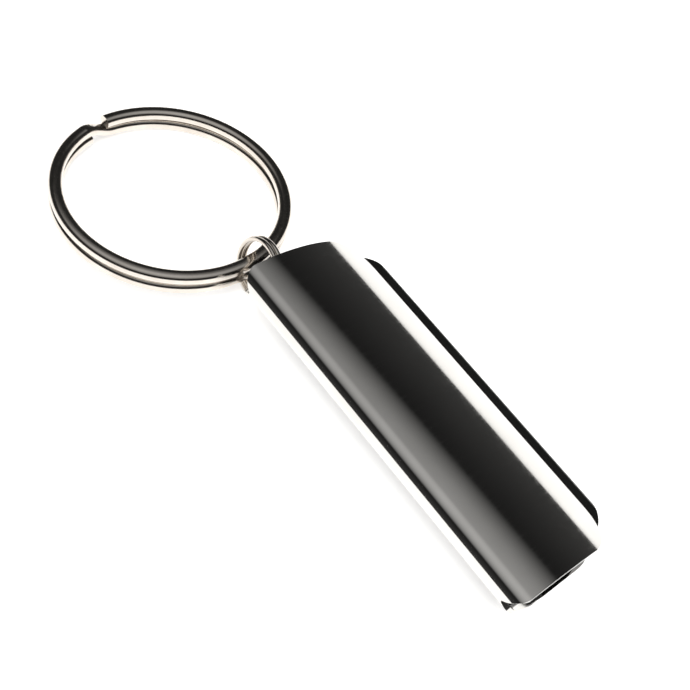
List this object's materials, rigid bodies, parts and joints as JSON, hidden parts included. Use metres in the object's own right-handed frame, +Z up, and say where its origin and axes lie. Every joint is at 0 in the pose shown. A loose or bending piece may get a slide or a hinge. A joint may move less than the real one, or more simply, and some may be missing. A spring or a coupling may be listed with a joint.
{
  "type": "keychain flashlight",
  "caption": "Flat keychain flashlight: a bent brushed steel sleeve round a black light core, a long press bar along its open side, hung on a small and a large split ring.",
  "frame": {"origin": "middle of the sleeve's flat resting face", "axes": "+X along the sleeve from the key rings to the lamp, +Y towards the press bar, +Z up"},
  "size_m": [0.0935, 0.0384, 0.0103],
  "materials": {
    "sleeve_steel": "polished with a fine lengthwise brush",
    "core_plastic": "fine moulded texture",
    "bar_plastic": "fine moulded texture with polished edges",
    "ring_nickel": "nickel plated, polished",
    "zinc_steel": "zinc plated",
    "cell_steel": "drawn stainless can",
    "contact_nickel": "nickel plated strip",
    "board_resin": "green solder mask",
    "switch_plastic": "moulded",
    "plunger_plastic": "moulded",
    "resistor_ceramic": "glazed ceramic",
    "led_epoxy": "clear cast epoxy",
    "reflector_metal": "vacuum plated",
    "seal_rubber": "moulded rubber",
    "window_clear": "clear moulded window"
  },
  "bodies": {
    "light_body": {"steel_sleeve": "sleeve_steel", "core_tray": "core_plastic", "core_lid": "core_plastic", "return_spring_rear": "zinc_steel", "return_spring_front": "zinc_steel", "circuit_board": "board_resin", "switch_body": "switch_plastic", "resistor": "resistor_ceramic", "led": "led_epoxy", "led_lead_anode": "zinc_steel", "led_lead_cathode": "zinc_steel", "reflector": "reflector_metal", "window_seal": "seal_rubber", "lens_window": "window_clear", "coin_cell_front": "cell_steel", "coin_cell_rear": "cell_steel", "cell_link": "contact_nickel", "positive_contact": "contact_nickel", "negative_contact": "contact_nickel", "lid_screw_rear": "zinc_steel", "lid_screw_front": "zinc_steel", "retaining_pin": "zinc_steel", "ring_pin": "ring_nickel"},
    "press_bar": {"press_bar": "bar_plastic"},
    "switch_plunger": {"switch_plunger": "plunger_plastic"},
    "small_ring": {"small_split_ring": "ring_nickel"},
    "big_ring": {"big_split_ring": "ring_nickel"}
  },
  "joints": [
    {"name": "press_bar_slide", "type": "slide", "parent": "light_body", "child": "press_bar", "axis": [0, -1, 0], "range_m": [0, 0.0005], "stiffness_N_per_m": 400, "springref_m": -0.001, "deforming": ["return_spring_rear", "return_spring_front"]},
    {"name": "switch_plunger_slide", "type": "slide", "parent": "light_body", "child": "switch_plunger", "axis": [0, -1, 0], "range_m": [0, 0.0005]},
    {"name": "small_ring_swing", "type": "hinge", "parent": "light_body", "child": "small_ring", "pos_m": [-0.0275, -0.006, 0.0042], "axis": [0, 0, 1], "range_deg": [-20, 40]},
    {"name": "big_ring_lift", "type": "hinge", "parent": "small_ring", "child": "big_ring", "pos_m": [-0.0315, -0.006, 0.0032], "axis": [0, 1, 0], "range_deg": [0, 60]}
  ],
  "couplings": [
    {"joint": "switch_plunger_slide", "follows": "press_bar_slide", "ratio": 1}
  ]
}
